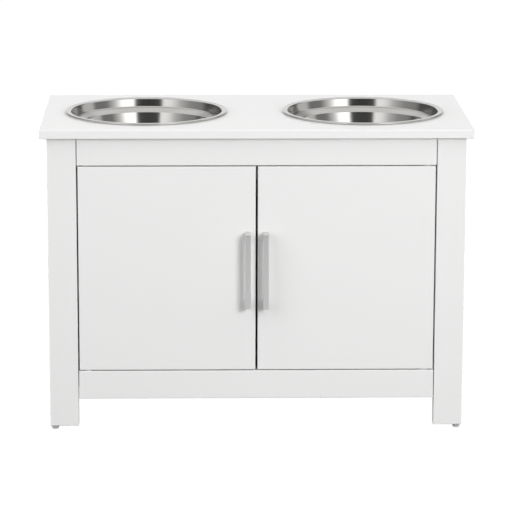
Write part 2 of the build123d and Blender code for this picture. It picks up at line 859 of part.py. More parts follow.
# ---- Steel strike plates and soft bumpers on the backs of the doors ----
for side, hand in hands:
    with BuildPart() as strike_plate:
        with BuildSketch(Plane.XZ.offset(-door_back)):
            with Locations((side * magnet_spacing / 2, catch_z)):
                RectangleRounded(strike_width, strike_height, strike_corner_radius)
        extrude(amount=-strike_thickness)
        with Locations(strike_places[hand]):
            add(strike_screw_hole, mode=Mode.SUBTRACT)
    strike_plate.part.label = f"{hand}_strike_plate"
    export_step(strike_plate.part, f"parts/{hand}_strike_plate.step")

    with BuildPart() as strike_screw_set:
        with Locations(strike_places[hand]):
            add(strike_screw)
    strike_screw_set.part.label = f"{hand}_strike_screw"
    export_step(strike_screw_set.part, f"parts/{hand}_strike_screw.step")

    with BuildPart() as door_bumpers:
        with Locations(*bumper_places[hand]):
            Cylinder(
                bumper_radius,
                bumper_thickness,
                align=(Align.CENTER, Align.CENTER, Align.MIN),
            )
        soft_edges = door_bumpers.edges().filter_by(GeomType.CIRCLE).group_by(Axis.Y)[-1]
        fillet(soft_edges, bumper_thickness / 2)
    door_bumpers.part.label = f"{hand}_door_bumpers"
    export_step(door_bumpers.part, f"parts/{hand}_door_bumpers.step")

# ---- Spun steel bowls: flat base, sloping wall, shoulder, collar and rolled rim ----
bead_z = feeder_height + bowl_seat_gap + bowl_bead_radius
flange_z = bead_z + bowl_bead_radius - bowl_flange_drop
collar_radius = bowl_mouth_radius - bowl_collar_taper
waist_radius = collar_radius - bowl_shoulder_width
shoulder_z = flange_z - bowl_collar_depth
with BuildPart() as bowl:
    with BuildSketch(Plane.XZ):
        with BuildLine():
            FilletPolyline(
                (0, flange_z - bowl_depth),
                (bowl_base_radius, flange_z - bowl_depth),
                (waist_radius, shoulder_z - bowl_shoulder_drop),
                (collar_radius, shoulder_z),
                (bowl_mouth_radius, flange_z),
                (bowl_mouth_radius + bowl_flange, flange_z),
                radius=(bowl_base_round, bowl_step_round, bowl_step_round, bowl_step_round),
            )
            offset(amount=bowl_sheet, side=Side.RIGHT)
        make_face()
        with Locations((bowl_mouth_radius + bowl_flange, bead_z)):
            Circle(bowl_bead_radius)
    revolve(axis=Axis.Z)

for (side, hand), bowl_middle in zip(hands, bowl_xs):
    with BuildPart() as placed_bowl:
        with Locations((bowl_middle, top_middle)):
            add(bowl.part)
    placed_bowl.part.label = f"{hand}_bowl"
    export_step(placed_bowl.part, f"parts/{hand}_bowl.step")
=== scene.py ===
"""The looks of a raised pet feeder with storage, built around its packed construction.

Metres. X runs across the front to the right, Y runs from the front to the back and Z runs up
from the floor.
"""

import json
import math

import bpy
from bpy.props import FloatProperty, FloatVectorProperty, IntProperty, PointerProperty
from mathutils import Matrix, Vector

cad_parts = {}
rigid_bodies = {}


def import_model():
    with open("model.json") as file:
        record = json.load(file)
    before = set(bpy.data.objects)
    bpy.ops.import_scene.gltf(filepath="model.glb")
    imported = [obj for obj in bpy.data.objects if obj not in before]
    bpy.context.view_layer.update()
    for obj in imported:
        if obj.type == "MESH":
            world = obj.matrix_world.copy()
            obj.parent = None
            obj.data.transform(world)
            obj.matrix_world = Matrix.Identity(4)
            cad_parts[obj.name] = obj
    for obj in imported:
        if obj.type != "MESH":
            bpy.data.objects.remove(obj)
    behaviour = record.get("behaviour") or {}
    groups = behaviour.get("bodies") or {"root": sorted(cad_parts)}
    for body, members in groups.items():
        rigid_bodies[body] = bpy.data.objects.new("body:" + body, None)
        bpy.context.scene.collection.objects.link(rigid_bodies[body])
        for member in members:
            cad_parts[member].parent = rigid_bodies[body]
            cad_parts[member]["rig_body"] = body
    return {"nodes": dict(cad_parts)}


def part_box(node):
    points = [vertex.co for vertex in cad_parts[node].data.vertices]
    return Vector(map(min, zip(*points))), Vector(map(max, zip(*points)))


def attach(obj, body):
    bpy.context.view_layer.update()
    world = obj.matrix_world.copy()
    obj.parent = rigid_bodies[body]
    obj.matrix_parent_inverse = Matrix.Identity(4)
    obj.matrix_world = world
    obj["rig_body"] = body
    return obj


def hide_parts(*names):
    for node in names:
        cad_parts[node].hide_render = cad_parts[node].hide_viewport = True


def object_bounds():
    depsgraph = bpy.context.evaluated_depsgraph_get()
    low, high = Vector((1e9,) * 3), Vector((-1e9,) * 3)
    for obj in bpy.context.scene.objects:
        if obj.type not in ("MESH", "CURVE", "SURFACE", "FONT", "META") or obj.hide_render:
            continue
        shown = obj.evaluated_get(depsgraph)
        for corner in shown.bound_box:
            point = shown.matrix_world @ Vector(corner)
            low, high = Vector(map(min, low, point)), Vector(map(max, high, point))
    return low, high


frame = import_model()
CAD_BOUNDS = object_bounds()

bl_info = {
    "name": "Raised pet feeder",
    "version": (1, 0, 0),
    "blender": (4, 5, 0),
    "location": "View3D > Sidebar > Feeder",
    "description": "Finishes, bowls, handles and hardware of a raised pet feeder with storage",
    "category": "Object",
}

MM = 0.001
HANDS = ("left", "right")
UPRIGHT = Matrix.Identity(4)
SHARP_ANGLE = math.radians(32)
COLOR = {"subtype": "COLOR", "size": 4, "min": 0.0, "max": 1.0}


# ---- Sizes and colours ----
class FeederFinishes(bpy.types.PropertyGroup):
    """Colours and gloss of the finishes."""

    lacquer: FloatVectorProperty(
        name="Lacquer", description="Colour of the white lacquer", **COLOR,
        default=(0.84, 0.84, 0.835, 1.0),
    )
    lacquer_roughness: FloatProperty(
        name="Lacquer roughness", description="Roughness of the satin lacquer", default=0.42,
        min=0.0, max=1.0,
    )
    batten: FloatVectorProperty(
        name="Batten", description="Colour of the bare pine battens", **COLOR,
        default=(0.60, 0.42, 0.24, 1.0),
    )
    dowel: FloatVectorProperty(
        name="Dowel", description="Colour of the beech dowels", **COLOR, default=(0.62, 0.42, 0.25, 1.0),
    )
    bowl_steel: FloatVectorProperty(
        name="Bowl steel", description="Colour of the polished stainless steel", **COLOR,
        default=(0.70, 0.69, 0.67, 1.0),
    )
    bowl_roughness: FloatProperty(
        name="Bowl roughness", description="Roughness of the polished bowls", default=0.10,
        min=0.0, max=1.0,
    )
    nickel: FloatVectorProperty(
        name="Nickel", description="Colour of the satin nickel handles", **COLOR,
        default=(0.74, 0.74, 0.735, 1.0),
    )
    zinc: FloatVectorProperty(
        name="Zinc", description="Colour of the zinc-plated fasteners", **COLOR,
        default=(0.60, 0.62, 0.65, 1.0),
    )
    nylon: FloatVectorProperty(
        name="Nylon", description="Colour of the nylon bushes and glides", **COLOR,
        default=(0.66, 0.66, 0.64, 1.0),
    )
    rubber: FloatVectorProperty(
        name="Bumper", description="Colour of the soft door bumpers", **COLOR,
        default=(0.72, 0.73, 0.73, 1.0),
    )


class FeederBowls(bpy.types.PropertyGroup):
    """Sizes of the spun bowls. The rim's radius, top and underside come from the frame."""

    mouth_radius: FloatProperty(
        name="Mouth radius", description="Inner edge of the flat flange", unit="LENGTH",
        default=107.5 * MM,
    )
    bead_radius: FloatProperty(
        name="Bead radius", description="Radius of the rolled edge", unit="LENGTH", default=1.3 * MM,
    )
    flange_drop: FloatProperty(
        name="Flange drop", description="Flange below the top of the rolled edge", unit="LENGTH",
        default=0.3 * MM,
    )
    sheet: FloatProperty(
        name="Sheet", description="Thickness of the steel sheet", unit="LENGTH", default=0.8 * MM,
    )
    collar_depth: FloatProperty(
        name="Collar depth", description="Height of the upper wall", unit="LENGTH", default=12.0 * MM,
    )
    collar_taper: FloatProperty(
        name="Collar taper", description="How far the upper wall leans in", unit="LENGTH",
        default=2.5 * MM,
    )
    shoulder_width: FloatProperty(
        name="Shoulder width", description="Width of the sloping step", unit="LENGTH", default=11.5 * MM,
    )
    shoulder_drop: FloatProperty(
        name="Shoulder drop", description="Fall of the sloping step", unit="LENGTH", default=6.0 * MM,
    )
    base_radius: FloatProperty(
        name="Base radius", description="Where the lower wall meets the base", unit="LENGTH",
        default=79.0 * MM,
    )
    base_round: FloatProperty(
        name="Base round", description="Radius between wall and base", unit="LENGTH", default=13.0 * MM,
    )
    step_round: FloatProperty(
        name="Step round", description="Radius of the steps in the wall", unit="LENGTH", default=2.0 * MM,
    )
    sides: IntProperty(
        name="Sides", description="Faces round a bowl", default=192, min=24,
    )


class FeederHandles(bpy.types.PropertyGroup):
    """Sizes of the bridge handles. Their length, width and reach come from the frame."""

    bar: FloatProperty(
        name="Bar", description="Thickness of the bar, front to back", unit="LENGTH", default=6.0 * MM,
    )
    leg: FloatProperty(
        name="Leg", description="Height of a leg", unit="LENGTH", default=10.0 * MM,
    )
    outer_radius: FloatProperty(
        name="Outer radius", description="Round of the bar's ends", unit="LENGTH", default=2.0 * MM,
    )
    inner_radius: FloatProperty(
        name="Inner radius", description="Round inside the bridge", unit="LENGTH", default=5.0 * MM,
    )
    front_round: FloatProperty(
        name="Front round", description="Round along the front edges", unit="LENGTH", default=1.6 * MM,
    )
    back_round: FloatProperty(
        name="Back round", description="Round along the back edges", unit="LENGTH", default=0.7 * MM,
    )


class FeederHardware(bpy.types.PropertyGroup):
    """Sizes of the screws' and nails' visible shapes."""

    thread_pitch: FloatProperty(
        name="Thread pitch", description="Pitch of the wood screws", unit="LENGTH", default=1.6 * MM,
    )
    thread_depth: FloatProperty(
        name="Thread depth", description="Depth of the thread as a share of the radius",
        default=0.32, min=0.0, max=0.6,
    )
    recess_share: FloatProperty(
        name="Recess", description="Reach of the cross recess as a share of the head's radius",
        default=0.56, min=0.1, max=0.9,
    )
    sides: IntProperty(name="Sides", description="Faces round a fastener", default=28, min=8)


class FeederStudio(bpy.types.PropertyGroup):
    """Camera, lights and floor."""

    camera_place: FloatVectorProperty(
        name="Camera", description="Where the camera stands", subtype="XYZ", unit="LENGTH",
        default=(-0.0904, -3.8274, 1.0702),
    )
    camera_yaw: FloatProperty(
        name="Yaw", description="Turn of the view to the right", subtype="ANGLE",
        default=math.radians(1.388),
    )
    camera_pitch: FloatProperty(
        name="Pitch", description="Tilt of the view below level", subtype="ANGLE",
        default=math.radians(12.515),
    )
    camera_roll: FloatProperty(
        name="Roll", description="Roll of the view", subtype="ANGLE", default=math.radians(0.14),
    )
    focal_length: FloatProperty(
        name="Focal length", description="Focal length in millimetres", default=190.96,
    )
    key_power: FloatProperty(
        name="Key", description="Power of the soft light on the right", default=27.0,
    )
    fill_power: FloatProperty(
        name="Fill", description="Power of the soft light on the left", default=14.0,
    )
    back_power: FloatProperty(
        name="Back", description="Power of each soft light beside and behind", default=42.0,
    )
    room: FloatProperty(
        name="Room", description="Soft light from the studio's walls", default=0.44,
    )
    ceiling: FloatProperty(
        name="Ceiling", description="Soft light from the ceiling", default=1.15,
    )
    roof: FloatProperty(
        name="Roof", description="Brightness of the ceiling in polished metal", default=0.75,
    )
    floor_glow: FloatProperty(
        name="Floor glow", description="Light that the floor sends up to the feeder", default=0.19,
    )
    floor_shine: FloatProperty(
        name="Floor shine", description="Brightness of the floor in polished metal", default=0.75,
    )


# ---- Shader nodes as expressions ----
class Signal:
    """An output socket. Arithmetic on it adds Math nodes."""

    def __init__(self, tree, socket):
        self.tree = tree
        self.socket = socket

    def _maths(self, operation, first, second):
        return self.tree.node("Math", {"operation": operation}, {0: first, 1: second})["Value"]

    def __add__(self, other):
        return self._maths("ADD", self, other)

    def __radd__(self, other):
        return self._maths("ADD", other, self)

    def __sub__(self, other):
        return self._maths("SUBTRACT", self, other)

    def __rsub__(self, other):
        return self._maths("SUBTRACT", other, self)

    def __mul__(self, other):
        return self._maths("MULTIPLY", self, other)

    def __rmul__(self, other):
        return self._maths("MULTIPLY", other, self)

    def __truediv__(self, other):
        return self._maths("DIVIDE", self, other)

    def __rtruediv__(self, other):
        return self._maths("DIVIDE", other, self)


class Tree:
    """The nodes of a material or a world, being built."""

    def __init__(self, owner):
        owner.use_nodes = True
        self.owner = owner
        self.tree = owner.node_tree
        self.tree.nodes.clear()

    def node(self, kind, settings=None, sockets=None):
        """Add a node, set it up and link it. Return its outputs by name."""
        made = self.tree.nodes.new("ShaderNode" + kind)
        for name, value in (settings or {}).items():
            if name == "stops":
                self._set_stops(made.color_ramp, value)
            else:
                setattr(made, name, value)
        for key, value in (sockets or {}).items():
            socket = self._input(made, key)
            if isinstance(value, Signal):
                self.tree.links.new(value.socket, socket)
            else:
                socket.default_value = value
        return {output.name: Signal(self, output) for output in made.outputs if output.enabled}

    @staticmethod
    def _input(made, key):
        if isinstance(key, int):
            return made.inputs[key]
        return next(socket for socket in made.inputs if socket.enabled and socket.name == key)

    @staticmethod
    def _set_stops(ramp, stops):
        while len(ramp.elements) < len(stops):
            ramp.elements.new(1.0)
        for element, (position, color) in zip(ramp.elements, stops):
            element.position = position
            element.color = color

    def place(self, scale=(1.0, 1.0, 1.0), shift=(0.0, 0.0, 0.0)):
        """The surface point in the object's own frame, shifted and then scaled."""
        point = self.node("TexCoord")["Object"]
        moved = self.node("VectorMath", {"operation": "SUBTRACT"}, {0: point, 1: shift})["Vector"]
        return self.node("VectorMath", {"operation": "MULTIPLY"}, {0: moved, 1: scale})["Vector"]

    def noise(self, point, scale, detail=2.0, roughness=0.5, distortion=0.0):
        """Noise from 0 to 1. Scale is in features per metre."""
        inputs = {
            "Vector": point,
            "Scale": scale,
            "Detail": detail,
            "Roughness": roughness,
            "Distortion": distortion,
        }
        return self.node("TexNoise", {}, inputs)["Fac"]

    def mix(self, share, first, second):
        """A colour between two colours."""
        inputs = {"Factor": share, "A": first, "B": second}
        return self.node("Mix", {"data_type": "RGBA"}, inputs)["Result"]

    def bump(self, height, depth, strength=1.0):
        """A normal from a height of 0 to 1 that stands for a real depth."""
        inputs = {"Height": height, "Distance": depth, "Strength": strength}
        return self.node("Bump", {}, inputs)["Normal"]

    def surface(self, **inputs):
        """Finish the surface and return its material. Sockets go by their names in lower case."""
        sockets = {}
        for name, value in inputs.items():
            sockets[name.replace("_", " ").title().replace("Ior", "IOR")] = value
        shader = self.node("BsdfPrincipled", {}, sockets)["BSDF"]
        self.node("OutputMaterial", {}, {"Surface": shader})
        return self.owner


def tinted(color, share):
    """A colour made lighter or darker by a share."""
    return tuple(min(1.0, part * share) for part in color[:3]) + (1.0,)


def new_material(name):
    """The empty tree of a new material."""
    return Tree(bpy.data.materials.new(name))


# ---- Finishes ----
def lacquered_board(finishes):
    """Sprayed satin white lacquer: a faint orange peel and slow changes of tone and gloss."""
    tree = new_material("white_lacquer")
    white = finishes.lacquer
    point = tree.place()
    clouds = tree.noise(point, 4.0, detail=3.0)
    color = tree.mix(clouds, tinted(white, 0.985), tinted(white, 1.012))
    specks = tree.noise(point, 900.0, detail=1.0)
    color = tree.mix(specks * 0.05, color, tinted(white, 0.90))
    gloss = tree.noise(point, 28.0, detail=3.0)
    peel = tree.noise(point, 420.0, roughness=0.6)
    return tree.surface(
        base_color=color,
        roughness=finishes.lacquer_roughness - 0.05 + gloss * 0.10,
        specular_ior_level=0.4,
        normal=tree.bump(peel, 0.05 * MM, strength=0.35),
    )


def bare_timber(name, color, along):
    """Planed timber with its grain along one axis: growth rings, fibres and pores."""
    tree = new_material(name)
    stretch = [1.0, 1.0, 1.0]
    stretch[along] = 0.06
    point = tree.place(scale=stretch)
    drift = tree.noise(point, 40.0)
    rings = tree.noise(point, 170.0, detail=3.0, roughness=0.6, distortion=1.6)
    fibres = tree.noise(point, 1500.0)
    early, late = tinted(color, 1.18), tinted(color, 0.62)
    shade = tree.mix((rings - 0.35) * 1.4, early, late)
    shade = tree.mix(drift * 0.4, shade, tinted(color, 0.85))
    shade = tree.mix(fibres * 0.25, shade, tinted(color, 0.55))
    return tree.surface(
        base_color=shade,
        roughness=0.62 + fibres * 0.16,
        specular_ior_level=0.3,
        normal=tree.bump(rings * 0.5 + fibres * 0.5, 0.15 * MM, strength=0.6),
    )


def spun_steel(name, finishes, middle):
    """Polished stainless steel with faint rings from the spinning, about the bowl's axis."""
    tree = new_material(name)
    point = tree.place(shift=middle)
    flat = tree.node("VectorMath", {"operation": "MULTIPLY"}, {0: point, 1: (1.0, 1.0, 0.0)})
    radius = tree.node("VectorMath", {"operation": "LENGTH"}, {0: flat["Vector"]})["Value"]
    height = tree.node("SeparateXYZ", {}, {"Vector": point})["Z"]
    along = tree.node("CombineXYZ", {}, {"X": radius, "Y": height})["Vector"]
    rings = tree.noise(along, 900.0, roughness=0.7)
    broad = tree.noise(along, 90.0)
    smears = tree.noise(point, 26.0, detail=4.0, roughness=0.6)
    steel = finishes.bowl_steel
    color = tree.mix(broad, tinted(steel, 0.96), tinted(steel, 1.03))
    color = tree.mix(smears * 0.12, color, tinted(steel, 0.88))
    return tree.surface(
        base_color=color,
        metallic=1.0,
        roughness=finishes.bowl_roughness + rings * 0.05 + smears * 0.04,
        normal=tree.bump(rings * 0.6 + broad * 0.4, 0.012 * MM, strength=0.35),
    )


def satin_nickel(finishes):
    """Nickel brushed along the bar, with fine lengthwise lines and slight wear."""
    tree = new_material("satin_nickel")
    nickel = finishes.nickel
    point = tree.place(scale=(1.0, 1.0, 0.02))
    lines = tree.noise(point, 3200.0, roughness=0.7)
    wear = tree.noise(tree.place(), 60.0, detail=3.0)
    color = tree.mix(lines, tinted(nickel, 0.87), tinted(nickel, 1.08))
    return tree.surface(
        base_color=color,
        metallic=1.0,
        roughness=0.26 + lines * 0.12 + wear * 0.06,
        normal=tree.bump(lines, 0.01 * MM, strength=0.55),
    )


def zinc_plate(finishes):
    """Bright zinc over pressed steel: mottled tone and small pits."""
    tree = new_material("bright_zinc")
    zinc = finishes.zinc
    point = tree.place()
    mottle = tree.noise(point, 420.0, detail=3.0)
    pits = tree.noise(point, 2400.0, detail=1.0)
    color = tree.mix(mottle, tinted(zinc, 0.86), tinted(zinc, 1.10))
    return tree.surface(
        base_color=color,
        metallic=1.0,
        roughness=0.24 + mottle * 0.18,
        normal=tree.bump(pits, 0.02 * MM, strength=0.4),
    )


def moulded_plastic(name, color, roughness, grain):
    """Moulded plastic with a fine tool texture and slow changes of tone."""
    tree = new_material(name)
    point = tree.place()
    clouds = tree.noise(point, 70.0)
    texture = tree.noise(point, grain, roughness=0.6)
    return tree.surface(
        base_color=tree.mix(clouds, tinted(color, 0.95), tinted(color, 1.04)),
        roughness=roughness - 0.05 + texture * 0.12,
        normal=tree.bump(texture, 0.04 * MM, strength=0.4),
    )


def ferrite():
    """Pressed black ferrite with a grainy, slightly glinting face."""
    tree = new_material("ferrite")
    point = tree.place()
    grains = tree.noise(point, 2600.0)
    chips = tree.noise(point, 320.0)
    return tree.surface(
        base_color=tree.mix(grains, (0.018, 0.018, 0.02, 1.0), (0.06, 0.06, 0.065, 1.0)),
        roughness=0.55 + chips * 0.2,
        normal=tree.bump(grains * 0.6 + chips * 0.4, 0.08 * MM, strength=0.6),
    )


# ---- Mesh making ----
class Shape:
    """Points and faces gathered for one piece."""

    def __init__(self):
        self.points = []
        self.faces = []

    def add(self, points, faces, place=UPRIGHT):
        """Add points and the faces on them, moved to a place."""
        start = len(self.points)
        self.points.extend(place @ Vector(point) for point in points)
        self.faces.extend(tuple(start + index for index in face) for face in faces)

    def copy_to(self, places):
        """Return a shape with a copy of this one at each place."""
        copied = Shape()
        for place in places:
            copied.add(self.points, self.faces, place)
        return copied

    def skin(self, rings, closed=False, place=UPRIGHT):
        """Join rings of equal length with quads. A ring of one point closes to a tip."""
        points = []
        starts = []
        for ring in rings:
            starts.append(len(points))
            points.extend(ring)
        faces = []
        pairs = list(zip(range(len(rings)), range(1, len(rings))))
        if closed:
            pairs.append((len(rings) - 1, 0))
        for low, high in pairs:
            faces.extend(self._band(starts[low], len(rings[low]), starts[high], len(rings[high])))
        self.add(points, faces, place)

    @staticmethod
    def _band(low, low_count, high, high_count):
        count = max(low_count, high_count)
        for step in range(count):
            after = (step + 1) % count
            if low_count == 1:
                yield (low, high + after, high + step)
            elif high_count == 1:
                yield (low + step, low + after, high)
            else:
                yield (low + step, low + after, high + after, high + step)

    def lathe(self, profile, sides, closed=False, place=UPRIGHT):
        """Turn a profile of (radius, height) points about the Z axis, counted upwards outside."""
        rings = []
        for radius, height in profile:
            if radius < 1e-9:
                rings.append([(0.0, 0.0, height)])
                continue
            angles = (math.tau * step / sides for step in range(sides))
            rings.append([(radius * math.cos(a), radius * math.sin(a), height) for a in angles])
        self.skin(rings, closed, place)

    def mesh(self, name):
        """The shape as a mesh, smooth except at its sharp edges."""
        mesh = bpy.data.meshes.new(name)
        mesh.from_pydata([tuple(point) for point in self.points], [], self.faces)
        mesh.update()
        mesh.validate()
        mesh.polygons.foreach_set("use_smooth", [True] * len(mesh.polygons))
        mesh.set_sharp_from_angle(angle=SHARP_ANGLE)
        return mesh

    def piece(self, name, material, slot, replaces):
        """Make the shape a piece that stands for CAD nodes and rides on their body."""
        mesh = self.mesh(name)
        mesh.materials.append(material)
        made = bpy.data.objects.new(name, mesh)
        bpy.context.scene.collection.objects.link(made)
        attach(made, frame["nodes"][replaces]["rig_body"])
        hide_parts(replaces)


def rounded(corners, radii, steps=6):
    """A polyline with its inner corners rounded. There is a radius for each of them."""
    points = [Vector(corners[0])]
    for before, corner, after, radius in zip(corners, corners[1:], corners[2:], radii):
        before, corner, after = Vector(before), Vector(corner), Vector(after)
        back, ahead = (before - corner).normalized(), (after - corner).normalized()
        half = back.angle(ahead) / 2
        if radius <= 0 or half > math.pi / 2 - 1e-6:
            points.append(corner)
            continue
        reach = radius / math.tan(half)
        centre = corner + (back + ahead).normalized() * (radius / math.sin(half))
        start, end = corner + back * reach - centre, corner + ahead * reach - centre
        turn = start.angle(end)
        for step in range(steps + 1):
            share = step / steps
            weight_a = math.sin((1 - share) * turn) / math.sin(turn)
            weight_b = math.sin(share * turn) / math.sin(turn)
            points.append(centre + start * weight_a + end * weight_b)
    points.append(Vector(corners[-1]))
    return points


def offset_line(points, distance):
    """A line beside a 2-D line, to its right as it runs."""
    moved = []
    for index, point in enumerate(points):
        before = points[max(index - 1, 0)]
        after = points[min(index + 1, len(points) - 1)]
        ahead = (after - before).normalized()
        moved.append(point + Vector((ahead.y, -ahead.x)) * distance)
    return moved


def arc(centre, radius, start, end, steps):
    """Points along an arc between two angles in degrees."""
    angles = (math.radians(start + (end - start) * step / steps) for step in range(steps + 1))
    return [Vector((centre[0] + radius * math.cos(a), centre[1] + radius * math.sin(a))) for a in angles]


def cut(body, cutter):
    """Return a body shape with a cutter shape taken out of it."""
    objects = []
    for shape in (body, cutter):
        made = bpy.data.objects.new("blank", shape.mesh("blank"))
        bpy.context.scene.collection.objects.link(made)
        objects.append(made)
    modifier = objects[0].modifiers.new("cut", "BOOLEAN")
    modifier.operation = "DIFFERENCE"
    modifier.solver = "EXACT"
    modifier.object = objects[1]
    bpy.context.view_layer.update()
    evaluated = objects[0].evaluated_get(bpy.context.evaluated_depsgraph_get())
    result = evaluated.to_mesh()
    points = [vertex.co.copy() for vertex in result.vertices]
    found = Shape()
    found.add(points, [tuple(face.vertices) for face in result.polygons])
    evaluated.to_mesh_clear()
    for made in objects:
        mesh = made.data
        bpy.data.objects.remove(made)
        bpy.data.meshes.remove(mesh)
    return found


# ---- Fasteners ----
RECESS_WIDTH = 0.34  # an arm of the cross, as a share of its reach
ROWS_PER_TURN = 6
TOOTH_SHARPNESS = 2.4
TIP_LENGTH = 2.2  # in shank radii
SLIMMEST = 0.06  # the tip's last ring, as a share of the shank


def cross_recess(reach, depth):
    """A cross-shaped cutter that narrows downwards from just above the origin."""
    width = reach * RECESS_WIDTH
    outline = []
    for quarter in range(4):
        turn = Matrix.Rotation(quarter * math.pi / 2, 2)
        for corner in ((width / 2, width / 2), (reach, width / 2), (reach, -width / 2)):
            outline.append(turn @ Vector(corner))
    outline.sort(key=lambda point: math.atan2(point.y, point.x))
    rings = []
    for height, share in ((depth * 0.5, 1.25), (0.0, 1.0), (-depth, 0.45)):
        rings.append([(point.x * share, point.y * share, height) for point in outline])
    shape = Shape()
    shape.skin([[(0.0, 0.0, -depth * 1.15)]] + rings[::-1] + [[(0.0, 0.0, depth * 0.5)]])
    return shape


def thread_rings(radius, length, top, hardware):
    """Rings of a tapering helical thread from a height down to a screw's tip."""
    pitch = hardware.thread_pitch
    core = radius * (1 - hardware.thread_depth)
    rows = max(int((top + length) / pitch * ROWS_PER_TURN), ROWS_PER_TURN)
    rings = []
    for row in range(rows + 1):
        height = top - (top + length) * row / rows
        taper = min(1.0, (height + length) / (radius * TIP_LENGTH))
        ring = []
        for step in range(hardware.sides):
            angle = math.tau * step / hardware.sides
            phase = (height / pitch + step / hardware.sides) % 1.0
            tooth = max(0.0, 1 - abs(phase * 2 - 1) * TOOTH_SHARPNESS)
            reach = (core + (radius - core) * tooth) * max(taper, SLIMMEST)
            ring.append((reach * math.cos(angle), reach * math.sin(angle), height))
        rings.append(ring)
    return rings


def countersunk_screw(box_length, radius, head_radius, hardware):
    """A cross-head wood screw, its head's face at the origin, pointing down."""
    cone = head_radius - radius
    lip = 0.12 * head_radius
    head = Shape()
    sides = hardware.sides
    head.lathe(
        [
            (0.0, -cone - radius),
            (radius * 0.9, -cone - radius),
            (radius * 0.95, -cone * 1.02),
            (head_radius, -lip),
            (head_radius, -lip * 0.3),
            (head_radius - lip * 0.4, 0.0),
            (0.0, 0.0),
        ],
        sides,
    )
    screw = cut(head, cross_recess(head_radius * hardware.recess_share, cone * 0.9))
    rings = thread_rings(radius, box_length, -cone * 1.2, hardware)
    screw.skin([[(0.0, 0.0, -box_length)]] + rings[::-1] + [[(0.0, 0.0, -cone * 1.2)]])
    return screw


def pan_head_screw(box_length, radius, head_radius, head, hardware):
    """A cross-head machine screw, pointing down from under its domed head."""
    dome = [
        (0.0, -radius * 0.5),
        (radius * 0.9, -radius * 0.5),
        (radius * 0.9, 0.0),
        (head_radius, 0.0),
    ]
    dome += [
        (head_radius * math.cos(a) ** 0.55, head * math.sin(a) ** 0.8)
        for a in (math.pi / 2 * step / 9 for step in range(1, 9))
    ]
    dome.append((0.0, head))
    blank = Shape()
    blank.lathe(dome, hardware.sides)
    cutter = cross_recess(head_radius * hardware.recess_share, head * 0.8).copy_to(
        [Matrix.Translation((0.0, 0.0, head))]
    )
    screw = cut(blank, cutter)
    rings = thread_rings(radius, box_length, 0.0, hardware)
    for ring in rings:
        for index, (x, y, z) in enumerate(ring):
            reach = math.hypot(x, y)
            if z > -box_length + radius * 0.6:
                keep = max(reach, radius * 0.84) / max(reach, 1e-9)
                ring[index] = (x * keep, y * keep, z)
    screw.skin([[(0.0, 0.0, -box_length)]] + rings[::-1] + [[(0.0, 0.0, 0.0)]])
    return screw


def wire_nail(box_length, radius, head_radius, head, sides):
    """A flat-headed nail with a faceted point, pointing down from under its head."""
    nail = Shape()
    nail.lathe(
        [
            (0.0, -box_length),
            (radius, -box_length + radius * 3),
            (radius, -head * 0.3),
            (head_radius * 0.9, 0.0),
            (head_radius, head * 0.3),
            (head_radius, head * 0.7),
            (head_radius * 0.85, head),
            (0.0, head),
        ],
        sides,
    )
    return nail


def loose_parts(node):
    """The lowest and highest corners of each separate solid of a CAD node."""
    mesh = frame["nodes"][node].data
    owner = list(range(len(mesh.vertices)))

    def root(index):
        while owner[index] != index:
            owner[index] = owner[owner[index]]
            index = owner[index]
        return index

    by_place = {}
    for vertex in mesh.vertices:
        key = tuple(round(part * 1e6) for part in vertex.co)
        first = by_place.setdefault(key, vertex.index)
        owner[root(vertex.index)] = root(first)
    for edge in mesh.edges:
        owner[root(edge.vertices[0])] = root(edge.vertices[1])
    groups = {}
    for vertex in mesh.vertices:
        groups.setdefault(root(vertex.index), []).append(vertex.co)
    boxes = []
    for points in groups.values():
        reaches = list(zip(*points))
        boxes.append((Vector(map(min, reaches)), Vector(map(max, reaches))))
    return sorted(boxes, key=lambda box: tuple(round(part, 5) for part in box[0]))


def round_size(low, high, axis):
    """The length along an axis, and the radius, of a round solid in its box."""
    across = (axis + 2) % 3
    return high[axis] - low[axis], (high[across] - low[across]) / 2


def lying_place(low, high, axis, side):
    """A place on a solid's own axis, at its low or high end, with -Z turned into the solid."""
    middle = (low + high) / 2
    middle[axis] = low[axis] if side < 0 else high[axis]
    inward = Vector()
    inward[axis] = -side
    turn = Vector((0.0, 0.0, -1.0)).rotation_difference(inward).to_matrix().to_4x4()
    return Matrix.Translation(middle) @ turn


# ---- Operators ----
class FEEDER_OT_boards(bpy.types.Operator):
    """Lacquer the boards, doors, frame and panels"""

    bl_idname = "feeder.boards"
    bl_label = "Boards"

    nodes = (
        "top_panel", "left_side_panel", "right_side_panel", "left_stile", "right_stile",
        "top_rail", "bottom_rail", "front_stretcher", "rear_stretcher", "rear_rail",
        "bottom_panel", "back_panel", "left_door", "right_door",
    )

    def execute(self, context):
        material = lacquered_board(context.scene.feeder_finishes)
        for name in self.nodes:
            dress(name, material)
        return {"FINISHED"}


def dress(name, material):
    """Give a CAD node its finish."""
    node = frame["nodes"][name]
    for slot in node.material_slots:
        slot.material = material


